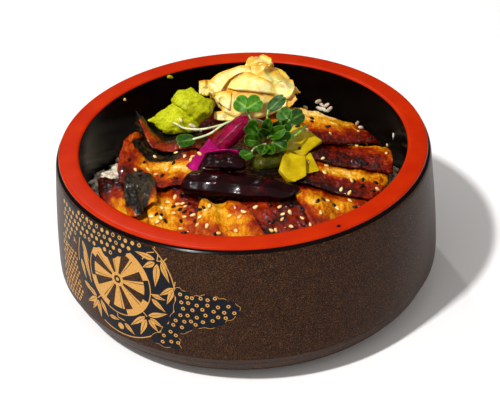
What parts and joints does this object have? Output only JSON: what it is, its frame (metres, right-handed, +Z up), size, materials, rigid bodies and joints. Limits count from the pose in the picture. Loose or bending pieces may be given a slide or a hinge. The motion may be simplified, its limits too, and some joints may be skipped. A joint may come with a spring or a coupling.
{
  "type": "grilled eel on rice",
  "caption": "Round lacquered serving bowl filled with rice and glazed grilled eel fillets, topped with wasabi, pickled ginger, pickles, radish sprouts and sesame.",
  "frame": {"origin": "centre of the bowl's foot, on the surface it stands on", "axes": "+Z up through the middle of the bowl; the picture's side faces -Y, and +X is to the viewer's right"},
  "size_m": [0.2008, 0.2008, 0.1018],
  "materials": {
    "lacquer": "dark brown lacquer, with a vermilion rim and a gold and black pattern",
    "rice": "moist white rice",
    "eel": "glazed brown skin side and grilled golden flesh",
    "eel_skin": "blistered near-black skin",
    "wasabi": "dull yellow-green paste",
    "ginger": "wet pale yellow slices",
    "purple_pickle": "wet magenta-purple",
    "dark_pickle": "wet near-black purple",
    "yellow_pickle": "wet mustard yellow",
    "green_pickle": "wet olive green",
    "sprout": "green seed leaves on pale stems"
  },
  "bodies": {
    "root": {"aubergine_dark_large": "dark_pickle", "aubergine_dark_small": "dark_pickle", "aubergine_magenta_flap": "purple_pickle", "aubergine_magenta_upright": "purple_pickle", "bowl": "lacquer", "cucumber_green": "green_pickle", "cucumber_yellow_back": "yellow_pickle", "cucumber_yellow_front": "yellow_pickle", "cucumber_yellow_side": "yellow_pickle", "eel_back_centre": "eel", "eel_back_left": "eel", "eel_back_right": "eel", "eel_centre": "eel", "eel_front_dark": "eel", "eel_front_gold": "eel", "eel_front_right": "eel", "eel_left": "eel", "eel_left_gold": "eel", "eel_left_rim": "eel", "eel_right_back": "eel", "eel_right_front": "eel", "eel_skin_fold": "eel_skin", "ginger": "ginger", "radish_sprouts": "sprout", "rice": "rice", "wasabi": "wasabi"}
  },
  "joints": []
}
